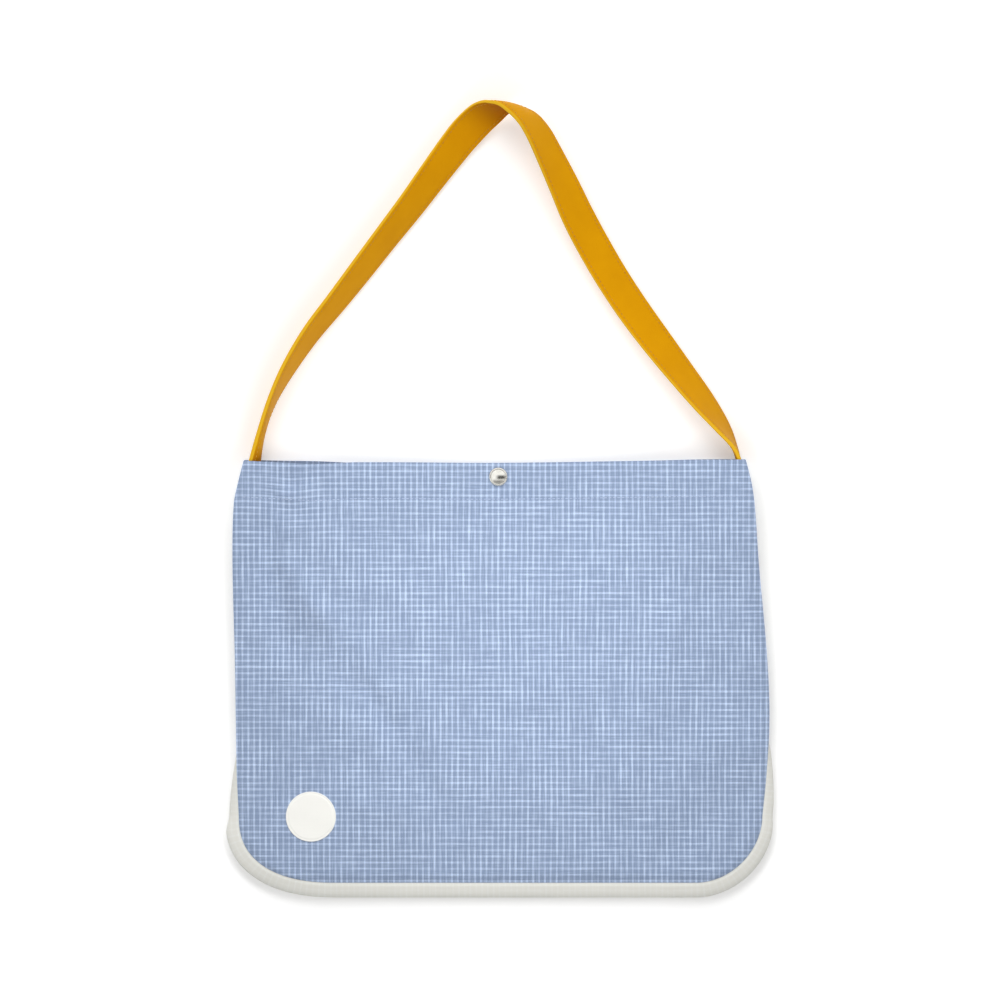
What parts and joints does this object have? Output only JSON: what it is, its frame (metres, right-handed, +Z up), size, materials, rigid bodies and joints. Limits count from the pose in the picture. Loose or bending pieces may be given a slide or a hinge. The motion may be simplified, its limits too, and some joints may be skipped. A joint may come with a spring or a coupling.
{
  "type": "record bag",
  "caption": "Slim cloth shoulder bag for 12-inch records with a check body, cream gusset, leather strap, press snap and round patch, lying on its back",
  "frame": {"origin": "middle of the whole bag's footprint, strap included, on the surface that its back lies on", "axes": "+X to the right seen from the front, +Y from the bag's bottom to its mouth and on to the strap's crest, +Z up from the back through the front"},
  "size_m": [0.4176, 0.6062, 0.0364],
  "materials": {
    "blue_check": "woven blue and white yarn-dyed check, matt",
    "cream_check": "woven off-white cloth with a faint check, matt",
    "mustard_leather": "smooth mustard leather, soft sheen",
    "nickel": "polished nickel",
    "white_patch": "white woven patch, blank"
  },
  "bodies": {
    "root": {"front_panel": "blue_check", "back_panel": "blue_check", "gusset": "cream_check", "strap": "mustard_leather", "patch": "white_patch", "snap_cap": "nickel", "snap_socket": "nickel", "snap_stud": "nickel", "snap_post": "nickel"}
  },
  "joints": []
}
